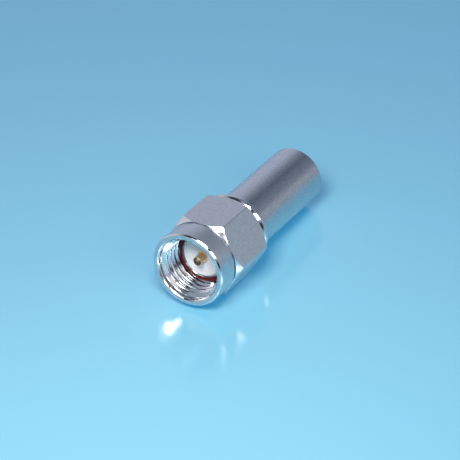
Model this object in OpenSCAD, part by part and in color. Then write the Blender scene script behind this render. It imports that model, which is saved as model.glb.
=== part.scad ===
// Coaxial SMA plug of the crimp type.
// The axis lies along Y with the mating face towards -Y, and the plug lies on a flat of its nut.
// The origin is on the axis at the reference plane, the front face of the outer conductor's tube.

/* [Coupling nut] */
// Hexagon across its flats
nut_across_flats = 7.94; // [7.4:0.02:9]
// Whole length of the nut
nut_length = 9.3; // [9:0.05:11]
// How far the nut's mouth stands ahead of the reference plane
nut_reach = 2.95; // [2.4:0.05:3.3]
// Diameter of the round collar at the mouth
collar_d = 7.9; // [7.7:0.02:7.94]
// Length of the round collar
collar_length = 2.49; // [1.8:0.01:3]
// Diameter of the neck between the collar and the hexagon
neck_d = 7.44; // [7.2:0.02:7.6]
// Length of the neck
neck_length = 0.18; // [0.1:0.01:0.4]
// Diameter at which the chamfer on the hexagon's front corners starts
chamfer_root_d = 7.98; // [7.8:0.02:8.2]
// Length along the axis of the chamfer on the hexagon's front corners
hex_front_chamfer = 0.55; // [0.3:0.01:1]
// Length along the axis of the chamfer on the hexagon's rear corners
hex_rear_chamfer = 0.62; // [0.3:0.02:1]
// Diameter of the polished lip behind the hexagon
lip_d = 7.8; // [7:0.05:7.94]
// Length from the hexagon to the rear of the lip
lip_length = 0.85; // [0.7:0.05:1.4]
// Radius of the lip's round edges
lip_round = 0.25; // [0.1:0.01:0.28]
// Diameter of the groove between the hexagon and the lip
lip_groove_d = 7.2; // [7:0.05:7.5]
// Length of the groove between the hexagon and the lip
lip_groove_length = 0.2; // [0.1:0.01:0.3]
// Chamfer on the outer edge of the mouth
mouth_chamfer = 0.12; // [0.05:0.01:0.2]

/* [Bore of the coupling nut] */
// Diameter of the smooth lead-in ahead of the thread
lead_in_d = 6.62; // [6.45:0.01:6.8]
// Depth of the smooth lead-in
lead_in_depth = 0.85; // [0.4:0.05:1.2]
// Chamfer on the inner edge of the mouth
lead_in_chamfer = 0.14; // [0.05:0.01:0.2]
// Radial gap between the gasket and the crests of the 1/4-36 thread
thread_gap = 0.1; // [0.06:0.01:0.14]
// Diameter of the undercut behind the thread
undercut_d = 6.5; // [6.4:0.01:6.7]
// Length of the undercut behind the thread
undercut_length = 0.45; // [0.3:0.05:0.6]
// Length of the wall between the undercut and the retaining ring's groove
groove_wall = 0.6; // [0.4:0.05:0.8]
// Chamfer at the rear of the bore, which closes the retaining ring on assembly
rear_chamfer = 0.3; // [0.1:0.05:0.4]

/* [Connector body] */
// Outer diameter of the outer conductor's tube
tube_d = 4.58; // [4.5:0.01:4.6]
// Bore of the outer conductor's tube
tube_bore_d = 4.1; // [3.9:0.01:4.2]
// How far the tube stands ahead of the gasket's seat
tube_reach = 1.15; // [1.05:0.05:1.5]
// Diameter of the head that the nut turns on
head_d = 5.46; // [5.3:0.01:5.5]
// Diameter of the flange behind the nut
flange_d = 6.1; // [5.9:0.02:6.3]
// Length of the flange
flange_length = 0.7; // [0.4:0.05:1.2]
// Length of the pilot that the ferrule seats on
pilot_length = 1.5; // [0.5:0.05:2]
// Outer diameter of the crimp barrel
barrel_d = 4.4; // [3.6:0.05:4.6]
// Length of the crimp barrel behind the pilot
barrel_length = 7; // [6:0.1:9]
// Bore of the crimp barrel, for the cable's dielectric
barrel_bore_d = 3.05; // [2.9:0.01:3.2]
// Distance from one serration of the barrel to the next
serration_pitch = 0.5; // [0.4:0.02:0.8]
// Depth of the serrations
serration_depth = 0.12; // [0.05:0.01:0.2]
// Chamfer on the body's edges
body_chamfer = 0.1; // [0.04:0.01:0.14]

/* [Retaining ring] */
// Inner diameter of the split ring
ring_bore_d = 4.86; // [4.8:0.01:5]
// Outer diameter of the split ring
ring_d = 6.1; // [5.9:0.01:6.15]
// Thickness of the split ring
ring_width = 0.6; // [0.4:0.02:0.7]
// Width of the split
ring_split = 1; // [0.5:0.05:2]
// Distance from the reference plane to the ring
ring_place = 3.65; // [3.6:0.05:4]

/* [Gasket] */
// Width of the gasket's section, from the tube outwards
gasket_width = 0.45; // [0.3:0.01:0.47]
// How far the gasket's face lies behind the reference plane
gasket_recess = 0.1; // [0.05:0.01:0.3]
// Radius of the gasket's front edges
gasket_round = 0.1; // [0.04:0.01:0.12]

/* [Insulator] */
// Length of the insulator
insulator_length = 4.7; // [4:0.05:5]

/* [Centre contact] */
// Diameter of the pin
pin_d = 0.9; // [0.88:0.01:0.94]
// How far the pin's tip stands ahead of the reference plane
pin_reach = 1.2; // [0.9:0.05:1.9]
// Length of the pin's tapered tip
pin_tip_length = 0.22; // [0.1:0.02:0.4]
// Diameter of the pin's flat end
pin_end_d = 0.5; // [0.3:0.02:0.7]
// Diameter of the shank in the insulator
shank_d = 1.27; // [1.2:0.01:1.4]
// How far the shank's shoulder lies behind the reference plane
shank_recess = 0.1; // [0.02:0.01:0.25]
// Outer diameter of the solder cup
cup_d = 2; // [1.7:0.05:2.4]
// Length of the solder cup
cup_length = 2.05; // [1.6:0.05:2.1]
// Bore of the solder cup
cup_bore_d = 0.96; // [0.92:0.02:1.2]
// Depth of the solder cup's bore
cup_depth = 1.7; // [1.2:0.05:1.8]
// Diameter of the inspection hole in the cup's side
inspection_d = 0.5; // [0.4:0.02:0.7]

/* [Crimp ferrule] */
// Outer diameter of the ferrule
ferrule_d = 6.18; // [6.1:0.02:6.4]
// Bore of the ferrule
ferrule_bore_d = 5.36; // [5.3:0.02:5.6]
// Length of the ferrule
ferrule_length = 11.9; // [10:0.05:13]
// Chamfer on the ferrule's outer edges
ferrule_chamfer = 0.12; // [0.05:0.01:0.15]

/* [Clearances] */
// Radial play between the nut and the body's head
spin_play = 0.05; // [0.02:0.01:0.1]
// Play along the axis between the nut and the body's flange
nut_float = 0.1; // [0.05:0.01:0.2]
// Play along the axis on each side of the retaining ring
ring_play = 0.05; // [0.02:0.01:0.1]
// Radial play between the ferrule and its pilot
ferrule_play = 0.05; // [0.02:0.01:0.1]
// Radial play between the insulator or the gasket and what it touches
insulator_play = 0.01; // [0.005:0.005:0.03]
// Gap along the axis behind the solder cup
cup_gap = 0.15; // [0.05:0.05:0.2]

/* [Hidden] */
$fn = 96;
hex_sides = 6;
arc_steps = 5;
past = 0.5; // how far a cutter runs past the face that it opens

nickel = [0.66, 0.68, 0.72];
satin_nickel = [0.58, 0.6, 0.64];
bronze = [0.72, 0.56, 0.36];
silicone_red = [0.36, 0.07, 0.06];
ptfe_white = [0.93, 0.93, 0.94];
gold = [0.83, 0.66, 0.36];

// The nut's places along the axis, from its mouth to its rear face, and its thread's minor radius
nut_front = -nut_reach;
nut_rear = nut_front + nut_length;
collar_rear = nut_front + collar_length;
hex_front = collar_rear + neck_length;
hex_rear = nut_rear - lip_length;
lip_front = hex_rear + lip_groove_length;
hex_corner_r = nut_across_flats / 2 / cos(180 / hex_sides);

// The ring's place, and the grooves that it lies in
ring_front = ring_place;
ring_rear = ring_front + ring_width;
nut_bore_r = head_d / 2 + spin_play;
nut_groove_r = ring_d / 2 + spin_play;
body_groove_r = ring_bore_d / 2 - spin_play;
undercut_rear = ring_front - ring_play - groove_wall;
thread_front = nut_front + lead_in_depth;
thread_rear = undercut_rear - undercut_length;
thread_minor_r = tube_d / 2 + insulator_play + gasket_width + thread_gap;

// The body's places along the axis, from the gasket's seat to the barrel's end
seat = tube_reach;
flange_front = nut_rear + nut_float;
flange_rear = flange_front + flange_length;
pilot_r = ferrule_bore_d / 2 - ferrule_play;
pilot_rear = flange_rear + pilot_length;
barrel_rear = pilot_rear + barrel_length;
cavity_rear = insulator_length + cup_length + cup_gap;
serration_start = pilot_rear + serration_pitch;
serration_count = floor((barrel_rear - body_chamfer - serration_start) / serration_pitch);

// The ferrule butts on the flange
ferrule_front = flange_rear;
ferrule_rear = ferrule_front + ferrule_length;

// Points of a quarter arc about a centre, for a profile drawn as [radius, place along the axis]
function quarter(centre, r, from) =
    [for (i = [0 : arc_steps]) let (a = from + 90 * i / arc_steps) centre + r * [cos(a), sin(a)]];

// Stands a profile's axis along Y
module along_axis() rotate([-90, 0, 0]) children();

// A solid of revolution from a profile of [radius, place along the axis]
module turned(profile) rotate_extrude() polygon(profile);

// The collar at the mouth
module nut_collar()
    turned([
        [0, nut_front],
        [collar_d / 2 - mouth_chamfer, nut_front],
        [collar_d / 2, nut_front + 2 * mouth_chamfer],
        [collar_d / 2, collar_rear],
        [0, collar_rear]]);

// The hexagon, its corners turned off by a cone at each end
module nut_hexagon()
    intersection() {
        turned([
            [0, hex_front],
            [chamfer_root_d / 2, hex_front],
            [hex_corner_r, hex_front + hex_front_chamfer],
            [hex_corner_r, hex_rear - hex_rear_chamfer],
            [lip_d / 2, hex_rear],
            [0, hex_rear]]);
        translate([0, 0, hex_front])
            cylinder(r = hex_corner_r, h = hex_rear - hex_front, $fn = hex_sides);
    }

// The polished lip behind the hexagon, round on both edges
module nut_lip()
    turned(concat(
        [[0, lip_front]],
        quarter([lip_d / 2 - lip_round, lip_front + lip_round], lip_round, 270),
        quarter([lip_d / 2 - lip_round, nut_rear - lip_round], lip_round, 0),
        [[0, nut_rear]]));

// The floors of the neck and of the lip's groove. It runs on inside the collar, the hexagon and
// the lip, which it joins.
module nut_core()
    turned([
        [0, collar_rear - neck_length],
        [neck_d / 2, collar_rear - neck_length],
        [neck_d / 2, hex_front + neck_length],
        [lip_groove_d / 2, hex_front + neck_length],
        [lip_groove_d / 2, lip_front + lip_round],
        [0, lip_front + lip_round]]);

// The nut's bore from the mouth: chamfer, lead-in, thread at its minor diameter, undercut,
// running bore, groove for the split ring, and the chamfer that closes the ring on assembly
module nut_bore() {
    lead_r = lead_in_d / 2;
    thread_chamfer = lead_r - thread_minor_r;
    turned([
        [0, nut_front - past],
        [lead_r + lead_in_chamfer, nut_front - past],
        [lead_r + lead_in_chamfer, nut_front],
        [lead_r, nut_front + lead_in_chamfer],
        [lead_r, thread_front - thread_chamfer / 2],
        [thread_minor_r, thread_front],
        [thread_minor_r, thread_rear],
        [undercut_d / 2, thread_rear],
        [undercut_d / 2, undercut_rear],
        [nut_bore_r, undercut_rear],
        [nut_bore_r, ring_front - ring_play],
        [nut_groove_r, ring_front - ring_play],
        [nut_groove_r, ring_rear + ring_play],
        [nut_bore_r, ring_rear + ring_play],
        [nut_bore_r, nut_rear - rear_chamfer],
        [nut_bore_r + rear_chamfer, nut_rear],
        [nut_bore_r + rear_chamfer, nut_rear + past],
        [0, nut_rear + past]]);
}

module coupling_nut() color(nickel) along_axis()
    difference() {
        union() {
            nut_collar();
            nut_hexagon();
            nut_lip();
            nut_core();
        }
        nut_bore();
    }

// The body's outline: tube, head with the ring's groove, flange, pilot and crimp barrel
module body_stock()
    turned([
        [0, 0],
        [tube_d / 2 - body_chamfer / 2, 0],
        [tube_d / 2, body_chamfer / 2],
        [tube_d / 2, seat],
        [head_d / 2 - body_chamfer, seat],
        [head_d / 2, seat + body_chamfer],
        [head_d / 2, ring_front - ring_play],
        [body_groove_r, ring_front - ring_play],
        [body_groove_r, ring_rear + ring_play],
        [head_d / 2, ring_rear + ring_play],
        [head_d / 2, flange_front],
        [flange_d / 2 - body_chamfer, flange_front],
        [flange_d / 2, flange_front + body_chamfer],
        [flange_d / 2, flange_rear],
        [pilot_r, flange_rear],
        [pilot_r, pilot_rear - body_chamfer],
        [pilot_r - body_chamfer, pilot_rear],
        [barrel_d / 2, pilot_rear],
        [barrel_d / 2, barrel_rear - body_chamfer],
        [barrel_d / 2 - body_chamfer, barrel_rear],
        [0, barrel_rear]]);

// One V-shaped serration round the crimp barrel. The cutter clears the barrel's surface by its
// own depth, so that it stays short of the pilot's rear face.
module serration(place)
    turned([
        [barrel_d / 2 - serration_depth, place],
        [barrel_d / 2 + serration_depth, place - 2 * serration_depth],
        [barrel_d / 2 + serration_depth, place + 2 * serration_depth]]);

// The body's bore: tube and cavity in front, the cable's bore behind
module body_bore()
    turned([
        [0, -past],
        [tube_bore_d / 2, -past],
        [tube_bore_d / 2, cavity_rear],
        [barrel_bore_d / 2, cavity_rear],
        [barrel_bore_d / 2, barrel_rear - body_chamfer],
        [barrel_bore_d / 2 + body_chamfer, barrel_rear],
        [barrel_bore_d / 2 + body_chamfer, barrel_rear + past],
        [0, barrel_rear + past]]);

module connector_body() color(nickel) along_axis()
    difference() {
        body_stock();
        body_bore();
        for (i = [0 : serration_count - 1])
            serration(serration_start + i * serration_pitch);
    }

// A ring with round front edges, seated on the head's shoulder
module gasket() color(silicone_red) along_axis() {
    inner_r = tube_d / 2 + insulator_play;
    outer_r = inner_r + gasket_width;
    round_centre = gasket_recess + gasket_round;
    turned(concat(
        [[inner_r, seat]],
        quarter([inner_r + gasket_round, round_centre], gasket_round, 180),
        quarter([outer_r - gasket_round, round_centre], gasket_round, 270),
        [[outer_r, seat]]));
}

// The bead is flush with the tube's face
module insulator() color(ptfe_white) along_axis()
    difference() {
        cylinder(d = tube_bore_d - 2 * insulator_play, h = insulator_length);
        translate([0, 0, -past])
            cylinder(d = shank_d + 2 * insulator_play, h = insulator_length + 2 * past);
    }

// Pin, shank and solder cup turned in one, with the cup bored and its side drilled
module center_contact() color(gold) along_axis()
    difference() {
        turned([
            [0, -pin_reach],
            [pin_end_d / 2, -pin_reach],
            [pin_d / 2, -pin_reach + pin_tip_length],
            [pin_d / 2, shank_recess],
            [shank_d / 2, shank_recess],
            [shank_d / 2, insulator_length],
            [cup_d / 2, insulator_length],
            [cup_d / 2, insulator_length + cup_length],
            [0, insulator_length + cup_length]]);
        translate([0, 0, insulator_length + cup_length - cup_depth])
            cylinder(d = cup_bore_d, h = cup_depth + past);
        translate([0, 0, insulator_length + cup_length - cup_depth + inspection_d])
            rotate([90, 0, 0]) cylinder(d = inspection_d, h = cup_d);
    }

// A flat ring with one split
module retaining_ring() color(bronze) along_axis()
    translate([0, 0, ring_front])
    difference() {
        cylinder(d = ring_d, h = ring_width);
        translate([0, 0, -past]) cylinder(d = ring_bore_d, h = ring_width + 2 * past);
        translate([-ring_split / 2, 0, -past])
            cube([ring_split, ring_d, ring_width + 2 * past]);
    }

// A plain tube with broken edges
module crimp_ferrule() color(satin_nickel) along_axis() {
    outer_r = ferrule_d / 2;
    bore_r = ferrule_bore_d / 2;
    turned([
        [bore_r, ferrule_front],
        [outer_r - ferrule_chamfer, ferrule_front],
        [outer_r, ferrule_front + ferrule_chamfer],
        [outer_r, ferrule_rear - ferrule_chamfer],
        [outer_r - ferrule_chamfer, ferrule_rear],
        [bore_r + ferrule_chamfer, ferrule_rear],
        [bore_r, ferrule_rear - ferrule_chamfer]]);
}

coupling_nut();
connector_body();
gasket();
insulator();
center_contact();
retaining_ring();
crimp_ferrule();
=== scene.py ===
"""The looks of a coaxial SMA crimp plug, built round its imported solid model.

The plug's axis lies along Y with the mating face towards -Y. Angles round the axis run from +X
towards +Z. Sizes are in millimetres until a mesh is made, and the scene is in metres.
"""

import math

import bmesh
import bpy
import numpy as np
from mathutils import Matrix, Vector


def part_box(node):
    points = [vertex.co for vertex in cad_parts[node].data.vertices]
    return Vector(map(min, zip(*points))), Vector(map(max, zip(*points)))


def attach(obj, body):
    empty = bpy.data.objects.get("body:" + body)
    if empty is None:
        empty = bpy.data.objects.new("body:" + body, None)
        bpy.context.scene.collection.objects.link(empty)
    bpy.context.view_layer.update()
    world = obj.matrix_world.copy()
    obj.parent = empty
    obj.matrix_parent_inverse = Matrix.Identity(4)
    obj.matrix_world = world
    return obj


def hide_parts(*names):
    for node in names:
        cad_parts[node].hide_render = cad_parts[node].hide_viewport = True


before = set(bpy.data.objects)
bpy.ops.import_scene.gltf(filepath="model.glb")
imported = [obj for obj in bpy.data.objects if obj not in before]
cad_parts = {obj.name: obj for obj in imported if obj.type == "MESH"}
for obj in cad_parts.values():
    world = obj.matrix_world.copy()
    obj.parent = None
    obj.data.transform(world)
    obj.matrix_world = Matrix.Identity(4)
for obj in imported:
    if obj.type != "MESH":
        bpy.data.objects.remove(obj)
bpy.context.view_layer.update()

MM = 0.001
INCH = 25.4

# ------------------------------------------------------------------ places taken from the frame


def box_mm(node):
    """A CAD node's lowest and highest corners, in millimetres."""
    low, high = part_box(node)
    return low / MM, high / MM


NUT_LOW, NUT_HIGH = box_mm("coupling_nut")
BODY_LOW, BODY_HIGH = box_mm("connector_body")
GASKET_LOW, GASKET_HIGH = box_mm("gasket")
INSULATOR_LOW, INSULATOR_HIGH = box_mm("insulator")
CONTACT_LOW, CONTACT_HIGH = box_mm("center_contact")
RING_LOW, RING_HIGH = box_mm("retaining_ring")
FERRULE_LOW, FERRULE_HIGH = box_mm("crimp_ferrule")

# ------------------------------------------------------------------ sizes, as in the solid model

HEX_SIDES = 6
HEX_FLAT_R = NUT_HIGH.z
COLLAR_R = 3.95
COLLAR_LENGTH = 2.49
NECK_R = 3.72
NECK_LENGTH = 0.18
CHAMFER_ROOT_R = 3.99
HEX_FRONT_CHAMFER = 0.55
HEX_REAR_CHAMFER = 0.62
LIP_R = 3.9
LIP_LENGTH = 0.85
LIP_ROUND = 0.25
LIP_GROOVE_R = 3.6
LIP_GROOVE_LENGTH = 0.2
HEX_CORNER_R = HEX_FLAT_R / math.cos(math.pi / HEX_SIDES)
HEX_FRONT_SLOPE = HEX_FRONT_CHAMFER / (HEX_CORNER_R - CHAMFER_ROOT_R)
HEX_REAR_SLOPE = HEX_REAR_CHAMFER / (HEX_CORNER_R - LIP_R)

LEAD_IN_R = 3.31
LEAD_IN_DEPTH = 0.85
LEAD_IN_CHAMFER = 0.14
THREAD_MINOR_R = 2.85
UNDERCUT_R = 3.25
UNDERCUT_LENGTH = 0.45
GROOVE_WALL = 0.6
RING_PLAY = 0.05
NUT_BORE_R = 2.78
NUT_GROOVE_R = 3.1
REAR_CHAMFER = 0.3

TUBE_R = 2.29
TUBE_BORE_R = 2.05
HEAD_R = 2.73
BODY_GROOVE_R = 2.38
FLANGE_R = 3.05
FLANGE_LENGTH = 0.7
PILOT_R = 2.63
PILOT_LENGTH = 1.5
BARREL_R = 2.2
BARREL_BORE_R = 1.525
SERRATION_PITCH = 0.5
SERRATION_DEPTH = 0.12
BODY_CHAMFER = 0.1
CUP_GAP = 0.15
GASKET_ROUND = 0.1
FIT_GAP = 0.01

PIN_R = 0.45
PIN_END_R = 0.25
PIN_TIP_LENGTH = 0.22
SHANK_R = 0.635
SHANK_RECESS = 0.1
CUP_BORE_R = 0.48
CUP_DEPTH = 1.7

FERRULE_BORE_R = 2.68
FERRULE_CHAMFER = 0.12

# ------------------------------------------------------------------ sizes that only the scene has

HEX_CORNER_EASE = 0.14
LIP_BEVEL_DEPTH = 0.25
LIP_BEVEL_LENGTH = 0.28
MOUTH_BEVEL_DEPTH = 0.15
MOUTH_BEVEL_LENGTH = 0.165

THREAD_MAJOR_R = INCH / 8
THREAD_PITCH = INCH / 36
THREAD_CREST = THREAD_PITCH / 4
THREAD_ROOT = THREAD_PITCH / 8
THREAD_FLANK = (THREAD_PITCH - THREAD_CREST - THREAD_ROOT) / 2

# ------------------------------------------------------------------ meshes

TURNED_COLUMNS = 144
EASE_STEPS = 4
SMALL_EASE = 0.02
EDGE_EASE = 0.04
# an eased corner takes up no more than this share of the stretches beside it
EASE_SHARE = 0.45
SHORTEST = 1e-9
MERGE_DISTANCE = 2e-7
NORMAL_WEIGHT = 90


def corner(radius, place, ease=SMALL_EASE, zone=0):
    """A corner of a profile. Its edge is eased over that length, and zone is the material of the
    stretch that follows it. Radius and place may be arrays with a value for each column."""
    return radius, place, ease, zone


def eased_rows(corners, columns, closed):
    """Rows of [radius, place] for each column, with each corner rounded off, and a zone for
    the band after each row."""
    points = [
        np.stack([np.broadcast_to(r, columns), np.broadcast_to(y, columns)], axis=1).astype(float)
        for r, y, _, _ in corners
    ]
    rows, zones = [], []
    last = len(corners) - 1
    for i, (_, _, ease, zone) in enumerate(corners):
        here = points[i]
        if ease == 0 or (not closed and i in (0, last)):
            rows.append(here)
            zones.append(zone)
            continue
        back, ahead = points[i - 1] - here, points[(i + 1) % len(points)] - here
        back_length = np.maximum(np.linalg.norm(back, axis=1, keepdims=True), SHORTEST)
        ahead_length = np.maximum(np.linalg.norm(ahead, axis=1, keepdims=True), SHORTEST)
        reach = np.minimum(ease, EASE_SHARE * np.minimum(back_length, ahead_length))
        start, end = here + back / back_length * reach, here + ahead / ahead_length * reach
        for t in np.linspace(0, 1, EASE_STEPS + 1):
            rows.append((1 - t) ** 2 * start + 2 * t * (1 - t) * here + t**2 * end)
            zones.append(zone)
    return rows, zones


def ring_points(rows, angles):
    """Points in metres of rows of [radius, place] at the columns' angles."""
    grid = np.array(rows)
    radius, place = grid[..., 0], grid[..., 1]
    return np.stack([radius * np.cos(angles), place, radius * np.sin(angles)], axis=-1) * MM


def mesh_object(name, patches, materials):
    """One object from patches of (points, faces, zone of each face), with double points merged."""
    verts = np.concatenate([p.reshape(-1, 3) for p, _, _ in patches])
    faces, zones, offset = [], [], 0
    for points, patch_faces, patch_zones in patches:
        faces.append(np.asarray(patch_faces) + offset)
        zones.append(np.asarray(patch_zones))
        offset += points.reshape(-1, 3).shape[0]
    mesh = bpy.data.meshes.new(name)
    mesh.from_pydata(verts.tolist(), [], np.concatenate(faces).tolist())
    for material in materials:
        mesh.materials.append(material)
    mesh.polygons.foreach_set("material_index", np.concatenate(zones).astype(np.int32))
    shape = bmesh.new()
    shape.from_mesh(mesh)
    bmesh.ops.remove_doubles(shape, verts=shape.verts, dist=MERGE_DISTANCE)
    bmesh.ops.dissolve_degenerate(shape, edges=shape.edges, dist=MERGE_DISTANCE)
    bmesh.ops.recalc_face_normals(shape, faces=shape.faces)
    shape.to_mesh(mesh)
    shape.free()
    mesh.shade_smooth()
    piece = bpy.data.objects.new(name, mesh)
    bpy.context.scene.collection.objects.link(piece)
    normals = piece.modifiers.new("even_normals", "WEIGHTED_NORMAL")
    normals.mode = "FACE_AREA"
    normals.weight = NORMAL_WEIGHT
    return piece


def ring_faces(row_count, columns, closed):
    """Quads between rows of points that each run once round the axis."""
    rows = np.arange(row_count if closed else row_count - 1)
    i, j = np.meshgrid(rows, np.arange(columns), indexing="ij")
    i_next, j_next = (i + 1) % row_count, (j + 1) % columns
    quads = np.stack(
        [i * columns + j, i * columns + j_next, i_next * columns + j_next, i_next * columns + j],
        axis=-1,
    )
    return quads.reshape(-1, 4)


def turned_patch(corners, angles, closed=True):
    """A patch turned about the axis from a profile's corners."""
    columns = len(angles)
    rows, zones = eased_rows(corners, columns, closed)
    faces = ring_faces(len(rows), columns, closed)
    bands = len(faces) // columns
    return ring_points(rows, angles), faces, np.repeat(zones[:bands], columns)


def turned_object(name, corners, materials, closed=True):
    """An object turned about the axis from a profile's corners."""
    angles = np.linspace(0, 2 * math.pi, TURNED_COLUMNS, endpoint=False)
    return mesh_object(name, [turned_patch(corners, angles, closed)], materials)


# ------------------------------------------------------------------ materials

# millimetres, the size of the patches over which a metal's roughness varies
PATCH_SIZE = 0.9
NOISE_DETAIL = 3.0
# a grain's noise stays near 0.5, and this range spreads it over 0 to 1
GRAIN_CONTRAST = (-1.0, 2.0)
DULL_SHADE = 0.93
DULL_SPREAD = 0.05
# millimetres, how far light goes into a plastic
SUBSURFACE_DEPTH = 0.3
# a quarter turn, which lays the highlight across marks that run round the axis
ACROSS_MARKS = 0.25


class Nodes:
    """Short ways to add and join the nodes of a tree."""

    def __init__(self, tree):
        self.tree = tree
        tree.nodes.clear()

    def add(self, kind, inputs=None, **settings):
        made = self.tree.nodes.new(kind)
        for key, value in settings.items():
            setattr(made, key, value)
        for key, value in (inputs or {}).items():
            if isinstance(value, bpy.types.NodeSocket):
                self.tree.links.new(value, made.inputs[key])
            else:
                made.inputs[key].default_value = value
        return made

    def ranged(self, value, low, high):
        """A value from 0 to 1 taken to the range from low to high."""
        inputs = {"Value": value, "To Min": low, "To Max": high}
        return self.add("ShaderNodeMapRange", inputs).outputs["Result"]

    def mixed(self, factor, first, second):
        """The colour between two others, each a triple or another node's output. A mix node has
        its colours at sockets 6 and 7, and their mix at output 2."""
        inputs = {"Factor": factor}
        for socket, colour in ((6, first), (7, second)):
            inputs[socket] = (*colour, 1) if isinstance(colour, (tuple, list)) else colour
        return self.add("ShaderNodeMix", inputs, data_type="RGBA").outputs[2]

    def noise(self, stretch):
        """Noise from 0 to 1 whose grains are stretch millimetres long along X, Y and Z."""
        place = self.add("ShaderNodeTexCoord").outputs["Object"]
        scale = [1 / (s * MM) for s in stretch]
        scaled = self.add("ShaderNodeMapping", {"Vector": place, "Scale": scale}).outputs[0]
        inputs = {"Vector": scaled, "Scale": 1.0, "Detail": NOISE_DETAIL}
        return self.add("ShaderNodeTexNoise", inputs).outputs["Fac"]

    def bump(self, height, depth):
        """A normal for a grain of that depth in micrometres."""
        inputs = {"Height": height, "Strength": 1.0, "Distance": depth * MM * MM}
        return self.add("ShaderNodeBump", inputs).outputs[0]


def new_material(name):
    material = bpy.data.materials.new(name)
    material.use_nodes = True
    return material, Nodes(material.node_tree)


def metal(name, colour, roughness, grain, depth, spread=0.06, mottle=0.02, anisotropy=0.0):
    """A plated metal. Its grain is depth micrometres deep and varies the colour by mottle, and its
    roughness varies by spread over larger patches. Anisotropy stands for fine turning marks round
    the axis."""
    material, nodes = new_material(name)
    patches = nodes.noise([PATCH_SIZE] * 3)
    fine = nodes.noise(grain)
    dark, light = ([c * share for c in colour] for share in (1 - mottle, 1 + mottle))
    shader = nodes.add(
        "ShaderNodeBsdfPrincipled",
        {
            "Base Color": nodes.mixed(nodes.ranged(fine, *GRAIN_CONTRAST), dark, light),
            "Metallic": 1.0,
            "Roughness": nodes.ranged(patches, roughness - spread, roughness + spread),
            "Normal": nodes.bump(fine, depth),
        },
    )
    if anisotropy:
        shader.inputs["Anisotropic"].default_value = anisotropy
        shader.inputs["Anisotropic Rotation"].default_value = ACROSS_MARKS
        tangent = nodes.add("ShaderNodeTangent", direction_type="RADIAL", axis="Y").outputs[0]
        nodes.tree.links.new(tangent, shader.inputs["Tangent"])
    nodes.add("ShaderNodeOutputMaterial", {"Surface": shader.outputs[0]})
    return material


def dull(name, colour, roughness, grain, depth, subsurface=0.0):
    """A rubber or plastic, with fine bumps depth micrometres high."""
    material, nodes = new_material(name)
    fine = nodes.noise([grain] * 3)
    dark = [c * DULL_SHADE for c in colour]
    shader = nodes.add(
        "ShaderNodeBsdfPrincipled",
        {
            "Base Color": nodes.mixed(fine, dark, colour),
            "Roughness": nodes.ranged(fine, roughness - DULL_SPREAD, roughness + DULL_SPREAD),
            "Normal": nodes.bump(fine, depth),
        },
    )
    if subsurface:
        shader.inputs["Subsurface Weight"].default_value = subsurface
        shader.inputs["Subsurface Radius"].default_value = (1.0, 1.0, 1.0)
        shader.inputs["Subsurface Scale"].default_value = SUBSURFACE_DEPTH * MM
    nodes.add("ShaderNodeOutputMaterial", {"Surface": shader.outputs[0]})
    return material


NICKEL = (0.70, 0.71, 0.74)
TURNED_NICKEL = (0.63, 0.66, 0.69)
DRAWN_NICKEL = (0.70, 0.70, 0.72)
SATIN_NICKEL = (0.61, 0.62, 0.65)
GOLD = (0.92, 0.64, 0.40)
# painted shade: the pin tip's dark brown stands in for the dark surroundings its end and taper
# mirror, and dims the taper's highlight
DARK_TIP_GOLD = (0.17, 0.12, 0.08)
BRONZE = (0.62, 0.43, 0.26)
RED = (0.11, 0.012, 0.012)
WHITE = (0.90, 0.90, 0.91)

# name, colour, roughness, the grain's length in millimetres, and its depth in micrometres
polished = metal("polished_nickel", NICKEL, 0.06, (0.6, 0.03, 0.6), 0.05, spread=0.02)
thread_metal = metal("thread_nickel", NICKEL, 0.1, (0.5, 0.05, 0.5), 0.3, spread=0.04)
turned = metal(
    "turned_nickel", TURNED_NICKEL, 0.33, (0.6, 0.2, 0.6), 5.0,
    spread=0.03, mottle=0.07, anisotropy=0.5,
)
drawn = metal(
    "drawn_nickel", DRAWN_NICKEL, 0.36, (0.18, 0.4, 0.18), 4.0, spread=0.03, mottle=0.08
)
satin = metal(
    "satin_nickel", SATIN_NICKEL, 0.26, (0.22, 0.22, 0.22), 4.5, spread=0.02, mottle=0.09
)
hidden_metal = metal("bored_nickel", NICKEL, 0.3, (0.6, 0.04, 0.6), 0.4)
silicone = dull("red_silicone", RED, 0.25, 0.25, 2.0)
ptfe = dull("white_ptfe", WHITE, 0.45, 0.35, 1.0, subsurface=0.7)
gold = metal("gold_plate", GOLD, 0.45, (0.4, 0.03, 0.4), 0.3)
# painted shade for the pin's tip: a dark brown gold
dark_tip_gold = metal("dark_tip_gold", DARK_TIP_GOLD, 0.55, (0.12, 0.12, 0.12), 6.0)
bronze = metal("spring_bronze", BRONZE, 0.3, (0.3, 0.3, 0.3), 0.3)

# ------------------------------------------------------------------ coupling nut

NUT_COLUMNS = 240
CORNER_COLUMNS = 7
# the evenly spaced columns keep this many half corners clear of a corner's middle
CORNER_CLEARANCE = 1.2
FLANK_ROWS = (0.3, 0.5, 0.7)
FRONT = NUT_LOW.y
REAR = NUT_HIGH.y
COLLAR_REAR = FRONT + COLLAR_LENGTH
HEX_FRONT = COLLAR_REAR + NECK_LENGTH
HEX_REAR = REAR - LIP_LENGTH
GROOVE_FRONT = RING_LOW.y - RING_PLAY
GROOVE_REAR = RING_HIGH.y + RING_PLAY
UNDERCUT_REAR = GROOVE_FRONT - GROOVE_WALL
THREAD_REAR = UNDERCUT_REAR - UNDERCUT_LENGTH
THREAD_ENTRY = (LEAD_IN_R - THREAD_MINOR_R) / 2
THREAD_EXIT = (UNDERCUT_R - THREAD_MINOR_R) / 2
THREAD_FRONT = FRONT + LEAD_IN_DEPTH - THREAD_ENTRY


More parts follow.
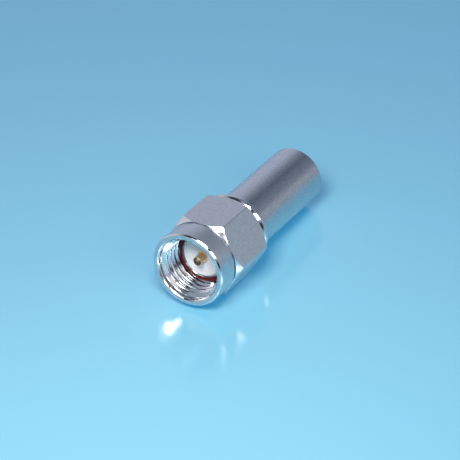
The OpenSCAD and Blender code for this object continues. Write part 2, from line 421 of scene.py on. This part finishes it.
def nut_angles():
    """Columns round the nut, evenly spaced with more of them at the hexagon's corners."""
    half_corner = math.pi / HEX_SIDES - math.atan(
        (HEX_FLAT_R - HEX_CORNER_EASE) * math.tan(math.pi / HEX_SIDES) / HEX_FLAT_R
    )
    even = np.linspace(0, 2 * math.pi, NUT_COLUMNS, endpoint=False)
    corners = np.arange(HEX_SIDES) * 2 * math.pi / HEX_SIDES
    close = [c + t for c in corners for t in np.linspace(-1, 1, CORNER_COLUMNS) * half_corner]
    apart = np.abs((even[:, None] - corners[None] + math.pi) % (2 * math.pi) - math.pi).min(axis=1)
    even = even[apart > half_corner * CORNER_CLEARANCE]
    return np.sort(np.concatenate([even, close]) % (2 * math.pi))


def hexagon_radius(angles):
    """Radius of a hexagon with rounded corners, with corners at 0, 60, ... degrees."""
    sector = 2 * math.pi / HEX_SIDES
    off_corner = (angles + sector / 2) % sector - sector / 2
    off_flat = sector / 2 - np.abs(off_corner)
    flat = HEX_FLAT_R / np.cos(off_flat)
    centre = (HEX_FLAT_R - HEX_CORNER_EASE) / math.cos(sector / 2)
    inside = np.maximum(HEX_CORNER_EASE**2 - (centre * np.sin(off_corner)) ** 2, 0)
    rounded = centre * np.cos(off_corner) + np.sqrt(inside)
    return np.minimum(flat, np.where(inside > 0, rounded, flat))


def thread_radius(phase):
    """Radius of the internal thread at a place along its pitch, measured from a crest's middle."""
    depth = THREAD_MAJOR_R - THREAD_MINOR_R
    off_crest = np.abs((phase + THREAD_PITCH / 2) % THREAD_PITCH - THREAD_PITCH / 2)
    return THREAD_MINOR_R + np.clip((off_crest - THREAD_CREST / 2) / THREAD_FLANK, 0, 1) * depth


def thread_stations():
    """Places along one pitch where the thread gets a row: either side of each edge, and between."""
    crest_end = THREAD_CREST / 2
    root_start = crest_end + THREAD_FLANK
    edges = [crest_end, root_start, root_start + THREAD_ROOT, THREAD_PITCH - crest_end]
    beside = [e + side * SMALL_EASE for e in edges for side in (-1, 0, 1)]
    between = [crest_end + THREAD_FLANK * t for t in FLANK_ROWS]
    between += [THREAD_PITCH - b for b in between]
    return sorted([0.0, *beside, *between])


def thread_patch(angles, zone):
    """The right-handed 1/4-36 thread, with a cone at each end. Rows follow the helix, so a row's
    end meets the row one turn back."""
    stations = thread_stations()
    turns = math.ceil((THREAD_REAR - THREAD_FRONT) / THREAD_PITCH) + 1
    along = np.array([k * THREAD_PITCH + s for k in range(turns) for s in stations])
    drop = THREAD_PITCH * angles / (2 * math.pi)
    place = np.clip(THREAD_FRONT + along[:, None] - drop[None], THREAD_FRONT, THREAD_REAR)
    radius = thread_radius(place - THREAD_FRONT + drop[None])
    entry = LEAD_IN_R - (place - THREAD_FRONT) * (LEAD_IN_R - THREAD_MINOR_R) / THREAD_ENTRY
    leave = UNDERCUT_R - (THREAD_REAR - place) * (UNDERCUT_R - THREAD_MINOR_R) / THREAD_EXIT
    radius = np.maximum(radius, np.maximum(entry, leave))
    rows, columns = len(along), len(angles)
    i, j = np.meshgrid(np.arange(rows - 1), np.arange(columns - 1), indexing="ij")
    a = i * columns + j
    inner = np.stack([a, a + 1, a + columns + 1, a + columns], axis=-1).reshape(-1, 4)
    i = np.arange(len(stations), rows - 1)
    end, start = i * columns + columns - 1, (i - len(stations)) * columns
    seam = np.stack([end, start, start + columns, end + columns], axis=-1)
    faces = np.concatenate([inner, seam])
    points = ring_points(np.stack([radius, place], axis=-1), angles)
    return points, faces, np.full(len(faces), zone)


def make_nut():
    """The coupling nut: hexagon, collar, neck and lip outside, stepped bore and thread inside."""
    angles = nut_angles()
    hexagon = hexagon_radius(angles)
    root = np.minimum(hexagon, CHAMFER_ROOT_R)
    front_edge = HEX_FRONT + (hexagon - root) * HEX_FRONT_SLOPE
    rear_edge = HEX_REAR - (hexagon - LIP_R) * HEX_REAR_SLOPE
    lip_front = HEX_REAR + LIP_GROOVE_LENGTH
    POLISHED, TURNED, DRAWN, THREAD, BORED = range(5)
    corners = [
        corner(UNDERCUT_R, THREAD_REAR, zone=BORED),
        corner(UNDERCUT_R, UNDERCUT_REAR, zone=BORED),
        corner(NUT_BORE_R, UNDERCUT_REAR, zone=BORED),
        corner(NUT_BORE_R, GROOVE_FRONT, zone=BORED),
        corner(NUT_GROOVE_R, GROOVE_FRONT, zone=BORED),
        corner(NUT_GROOVE_R, GROOVE_REAR, zone=BORED),
        corner(NUT_BORE_R, GROOVE_REAR, zone=BORED),
        corner(NUT_BORE_R, REAR - REAR_CHAMFER, zone=BORED),
        corner(NUT_BORE_R + REAR_CHAMFER, REAR, zone=TURNED),
        corner(LIP_R, REAR, ease=LIP_ROUND, zone=POLISHED),
        corner(LIP_R, lip_front + LIP_BEVEL_LENGTH, ease=EDGE_EASE, zone=POLISHED),
        corner(LIP_R - LIP_BEVEL_DEPTH, lip_front, zone=POLISHED),
        corner(LIP_GROOVE_R, lip_front, zone=POLISHED),
        corner(LIP_GROOVE_R, HEX_REAR, zone=POLISHED),
        corner(LIP_R, HEX_REAR, zone=POLISHED),
        corner(hexagon, rear_edge, ease=EDGE_EASE, zone=DRAWN),
        corner(hexagon, front_edge, ease=EDGE_EASE, zone=POLISHED),
        corner(root, HEX_FRONT, zone=POLISHED),
        corner(NECK_R, HEX_FRONT, zone=POLISHED),
        corner(NECK_R, COLLAR_REAR, zone=TURNED),
        corner(COLLAR_R, COLLAR_REAR, ease=EDGE_EASE, zone=TURNED),
        corner(COLLAR_R, FRONT + MOUTH_BEVEL_LENGTH, zone=POLISHED),
        corner(COLLAR_R - MOUTH_BEVEL_DEPTH, FRONT, ease=EDGE_EASE, zone=TURNED),
        corner(LEAD_IN_R + LEAD_IN_CHAMFER, FRONT, ease=EDGE_EASE, zone=POLISHED),
        corner(LEAD_IN_R, FRONT + LEAD_IN_CHAMFER, ease=EDGE_EASE, zone=POLISHED),
        corner(LEAD_IN_R, THREAD_FRONT, zone=POLISHED),
    ]
    patches = [turned_patch(corners, angles, closed=False), thread_patch(angles, THREAD)]
    materials = [polished, turned, drawn, thread_metal, hidden_metal]
    nut = mesh_object("nut", patches, materials)
    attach(nut, "coupling_nut")
    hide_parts("coupling_nut")


# ------------------------------------------------------------------ connector body


def barrel_serrations(pilot_rear, barrel_rear):
    """Corners of the V-shaped serrations along the crimp barrel."""
    first = pilot_rear + SERRATION_PITCH
    count = math.floor((barrel_rear - BODY_CHAMFER - first) / SERRATION_PITCH + 1e-6)
    corners = []
    for i in range(count):
        place = first + i * SERRATION_PITCH
        corners += [
            corner(BARREL_R, place - SERRATION_DEPTH),
            corner(BARREL_R - SERRATION_DEPTH, place),
            corner(BARREL_R, place + SERRATION_DEPTH),
        ]
    return corners


def make_body():
    """The connector's body: tube, head, flange, pilot and serrated crimp barrel."""
    seat = GASKET_HIGH.y
    flange_rear = FERRULE_LOW.y
    flange_front = flange_rear - FLANGE_LENGTH
    pilot_rear = flange_rear + PILOT_LENGTH
    barrel_rear = BODY_HIGH.y
    cavity_rear = CONTACT_HIGH.y + CUP_GAP
    TURNED, POLISHED = range(2)
    corners = [
        corner(TUBE_BORE_R, BODY_LOW.y, zone=POLISHED),
        corner(TUBE_R, BODY_LOW.y, ease=BODY_CHAMFER / 2, zone=POLISHED),
        corner(TUBE_R, seat),
        corner(HEAD_R, seat, ease=BODY_CHAMFER),
        corner(HEAD_R, GROOVE_FRONT),
        corner(BODY_GROOVE_R, GROOVE_FRONT),
        corner(BODY_GROOVE_R, GROOVE_REAR),
        corner(HEAD_R, GROOVE_REAR),
        corner(HEAD_R, flange_front),
        corner(FLANGE_R, flange_front, ease=BODY_CHAMFER),
        corner(FLANGE_R, flange_rear),
        corner(PILOT_R, flange_rear),
        corner(PILOT_R, pilot_rear, ease=BODY_CHAMFER),
        corner(BARREL_R, pilot_rear),
        *barrel_serrations(pilot_rear, barrel_rear),
        corner(BARREL_R, barrel_rear, ease=BODY_CHAMFER),
        corner(BARREL_BORE_R, barrel_rear, ease=BODY_CHAMFER),
        corner(BARREL_BORE_R, cavity_rear),
        corner(TUBE_BORE_R, cavity_rear),
    ]
    body = turned_object("body", corners, [turned, polished])
    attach(body, "connector_body")
    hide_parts("connector_body")


# ------------------------------------------------------------------ gasket, insulator and contact


def make_gasket():
    inner, outer = TUBE_R + FIT_GAP, GASKET_HIGH.z
    front, rear = GASKET_LOW.y, GASKET_HIGH.y
    corners = [
        corner(inner, rear),
        corner(inner, front, ease=GASKET_ROUND),
        corner(outer, front, ease=GASKET_ROUND),
        corner(outer, rear),
    ]
    gasket = turned_object("seal", corners, [silicone])
    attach(gasket, "connector_body")
    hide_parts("gasket")


def make_insulator():
    inner, outer = SHANK_R + FIT_GAP, INSULATOR_HIGH.z
    front, rear = INSULATOR_LOW.y, INSULATOR_HIGH.y
    corners = [
        corner(inner, front),
        corner(outer, front),
        corner(outer, rear),
        corner(inner, rear),
    ]
    bead = turned_object("bead", corners, [ptfe])
    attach(bead, "connector_body")
    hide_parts("insulator")


def make_contact():
    """The centre contact: pin with a dark tip, shank and solder cup. The tip's dark brown is
    painted shade.
    """
    tip, rear = CONTACT_LOW.y, CONTACT_HIGH.y
    cup_r, cup_front = CONTACT_HIGH.z, INSULATOR_HIGH.y
    cup_bottom = rear - CUP_DEPTH
    # the tip's end and taper take the dark brown, which is painted shade
    PLATED, DARK_TIP = range(2)
    corners = [
        corner(0, tip, zone=DARK_TIP),
        corner(PIN_END_R, tip, zone=DARK_TIP),
        corner(PIN_R, tip + PIN_TIP_LENGTH, ease=EDGE_EASE, zone=PLATED),
        corner(PIN_R, SHANK_RECESS),
        corner(SHANK_R, SHANK_RECESS),
        corner(SHANK_R, cup_front),
        corner(cup_r, cup_front),
        corner(cup_r, rear),
        corner(CUP_BORE_R, rear),
        corner(CUP_BORE_R, cup_bottom),
        corner(0, cup_bottom),
    ]
    contact = turned_object("pin", corners, [gold, dark_tip_gold], closed=False)
    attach(contact, "connector_body")
    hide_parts("center_contact")


# ------------------------------------------------------------------ ferrule and ring


def make_ferrule():
    """The crimp ferrule, a plain tube. The photo shows no chamfer on its front edge, so that edge
    is only eased here."""
    front, rear, outer = FERRULE_LOW.y, FERRULE_HIGH.y, FERRULE_HIGH.z
    corners = [
        corner(FERRULE_BORE_R, front),
        corner(outer, front, ease=SMALL_EASE),
        corner(outer, rear - FERRULE_CHAMFER, ease=EDGE_EASE),
        corner(outer - FERRULE_CHAMFER, rear, ease=EDGE_EASE),
        corner(FERRULE_BORE_R + FERRULE_CHAMFER, rear, ease=EDGE_EASE),
        corner(FERRULE_BORE_R, rear - FERRULE_CHAMFER, ease=EDGE_EASE),
    ]
    ferrule = turned_object("ferrule", corners, [satin])
    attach(ferrule, "crimp_ferrule")
    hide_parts("crimp_ferrule")


def finish_ring():
    """The split ring keeps its CAD shape, with its own material."""
    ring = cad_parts["retaining_ring"]
    ring.data.materials.clear()
    ring.data.materials.append(bronze)


# ------------------------------------------------------------------ camera

# fitted to the outlines in the photo. Distances here are in metres and angles in radians.
AIM = Vector((-1.220, 7.584, -1.123)) * MM
CAMERA_DISTANCE = 0.3
CAMERA_AZIMUTH = 0.523
CAMERA_ELEVATION = 0.532
CAMERA_LENS = 232.83
CAMERA_CLIP = (0.01, 20)


def direction(azimuth, elevation):
    """A unit vector. Azimuth 0 points along -Y and grows towards +X, in radians."""
    level = math.cos(elevation)
    return Vector((math.sin(azimuth) * level, -math.cos(azimuth) * level, math.sin(elevation)))


def make_camera():
    data = bpy.data.cameras.new("camera")
    data.lens = CAMERA_LENS
    data.clip_start, data.clip_end = CAMERA_CLIP
    camera = bpy.data.objects.new("camera", data)
    back = direction(CAMERA_AZIMUTH, CAMERA_ELEVATION)
    camera.location = AIM + back * CAMERA_DISTANCE
    camera.rotation_mode = "QUATERNION"
    camera.rotation_quaternion = (-back).to_track_quat("-Z", "Y")
    bpy.context.scene.collection.objects.link(camera)
    bpy.context.scene.camera = camera


# ------------------------------------------------------------------ floor

FLOOR_SIZE = 4.0
# the blue glow the floor gives off, which is all it shows in full shadow, and the colour that light
# adds to it
FLOOR_GLOW = (0.0, 0.15, 0.34)
FLOOR_LIT = (0.203, 0.425, 0.465)


def floor_material():
    """Pale blue and glossy, with a blue glow that stays in its shadows and lights the plug from
    below.
    """
    material, nodes = new_material("floor_blue")
    shader = nodes.add(
        "ShaderNodeBsdfPrincipled",
        {
            "Base Color": (*FLOOR_LIT, 1),
            "Roughness": 0.5,
            "Specular IOR Level": 0.3,
            "Coat Weight": 1.0,
            "Coat Roughness": 0.16,
            "Coat IOR": 2.0,
            # the floor glows blue: painted light that keeps its shadows blue
            "Emission Color": (*FLOOR_GLOW, 1),
            "Emission Strength": 1.0,
        },
    )
    nodes.add("ShaderNodeOutputMaterial", {"Surface": shader.outputs[0]})
    return material


def make_floor():
    """A plane through the two lines that the plug lies on: the rear edge of the nut's bottom flat
    and the rear edge of the ferrule."""
    heel = Vector((0, HEX_REAR - (HEX_FLAT_R - LIP_R) * HEX_REAR_SLOPE, NUT_LOW.z)) * MM
    tail = Vector((0, FERRULE_HIGH.y - FERRULE_CHAMFER, FERRULE_LOW.z)) * MM
    slope = math.atan2(tail.z - heel.z, tail.y - heel.y)
    half = FLOOR_SIZE / 2
    mesh = bpy.data.meshes.new("floor")
    corners = [(-half, -half, 0), (half, -half, 0), (half, half, 0), (-half, half, 0)]
    mesh.from_pydata(corners, [], [(0, 1, 2, 3)])
    mesh.materials.append(floor_material())
    floor = bpy.data.objects.new("floor", mesh)
    floor.matrix_world = Matrix.Translation(heel) @ Matrix.Rotation(slope, 4, "X")
    bpy.context.scene.collection.objects.link(floor)


# ------------------------------------------------------------------ lights

# name, azimuth, elevation, width and height in degrees, radiance, and distance in metres
LIGHTS = [
    ("front_top", 19, 47, 22, 18, 29.5, 0.105),
    ("front", -4, 47, 26, 14, 2.0, 0.6),
    ("right", 56, 28, 28, 16, 6.0, 0.6),
]


def softbox(name, azimuth, elevation, width, height, radiance, distance):
    """A soft light of that width and height as seen from the plug. At a radiance of 1 it would
    light a white sheet fully if it filled the sky."""
    data = bpy.data.lights.new(name, "AREA")
    data.shape = "RECTANGLE"
    data.size = 2 * distance * math.tan(math.radians(width) / 2)
    data.size_y = 2 * distance * math.tan(math.radians(height) / 2)
    data.energy = radiance * math.pi * data.size * data.size_y
    light = bpy.data.objects.new(name, data)
    aim = direction(math.radians(azimuth), math.radians(elevation))
    light.location = AIM + aim * distance
    light.rotation_mode = "QUATERNION"
    light.rotation_quaternion = aim.to_track_quat("Z", "Y")
    bpy.context.scene.collection.objects.link(light)


# ------------------------------------------------------------------ surroundings

# at the horizon and straight up
WORLD_LOW = (0.34, 0.40, 0.50)
WORLD_HIGH = (0.36, 0.40, 0.46)
# the share of the surroundings' radiance that lights matt surfaces. The camera, metal and glass
# see all of it.
WORLD_LIGHT = 0.08
# azimuth, elevation, inner and outer radius in degrees, and radiance of each soft patch of the
# surroundings, later ones over earlier ones
WORLD_PATCHES = [
    (175, 41.5, 0, 48, (0.16, 0.20, 0.27)),
    (170.5, 41, 2, 9, (0.085, 0.11, 0.15)),
    (-135, 9, 10, 50, (0.52, 0.57, 0.72)),
    (-75, 18, 10, 30, (0.70, 0.74, 0.80)),
    (139, 7, 4, 16, (0.42, 0.45, 0.51)),
    (10, 11, 8, 15, (1.0, 0.94, 0.92)),
    (35, 28, 5, 10, (1.3, 1.3, 1.3)),
    (41, 42, 3, 6, (0.03, 0.03, 0.03)),
    (-14, 25, 5, 12, (0.04, 0.04, 0.04)),
    (-34, 56, 8, 22, (0.05, 0.05, 0.06)),
    (27, 3, 2, 7, (0.04, 0.04, 0.04)),
    (58, 5, 4, 12, (0.04, 0.04, 0.04)),
]


def make_world():
    """Soft surroundings: a gradient from the horizon up, with darker and lighter patches."""
    world = bpy.data.worlds.new("surroundings")
    bpy.context.scene.world = world
    world.use_nodes = True
    nodes = Nodes(world.node_tree)
    ray = nodes.add("ShaderNodeTexCoord").outputs["Generated"]
    height = nodes.add("ShaderNodeSeparateXYZ", {0: ray}).outputs["Z"]
    colour = nodes.mixed(height, WORLD_LOW, WORLD_HIGH)
    for azimuth, elevation, inner, outer, radiance in WORLD_PATCHES:
        towards = direction(math.radians(azimuth), math.radians(elevation))
        nearness = nodes.add(
            "ShaderNodeVectorMath", {0: ray, 1: towards}, operation="DOT_PRODUCT"
        ).outputs["Value"]
        share = nodes.add(
            "ShaderNodeMapRange",
            {
                "Value": nearness,
                "From Min": math.cos(math.radians(outer)),
                "From Max": math.cos(math.radians(inner)),
            },
            interpolation_type="SMOOTHSTEP",
        ).outputs["Result"]
        colour = nodes.mixed(share, colour, radiance)
    path = nodes.add("ShaderNodeLightPath").outputs
    seen = path["Is Camera Ray"]
    for also in ("Is Glossy Ray", "Is Transmission Ray"):
        seen = nodes.add("ShaderNodeMath", {0: seen, 1: path[also]}, operation="MAXIMUM").outputs[0]
    strength = nodes.ranged(seen, WORLD_LIGHT, 1.0)
    background = nodes.add("ShaderNodeBackground", {"Color": colour, "Strength": strength})
    nodes.add("ShaderNodeOutputWorld", {"Surface": background.outputs[0]})


# ------------------------------------------------------------------ the scene

make_camera()
make_nut()
make_body()
make_gasket()
make_insulator()
make_contact()
make_ferrule()
finish_ring()
make_floor()
for light in LIGHTS:
    softbox(*light)
make_world()
bpy.context.scene.view_settings.view_transform = "Standard"
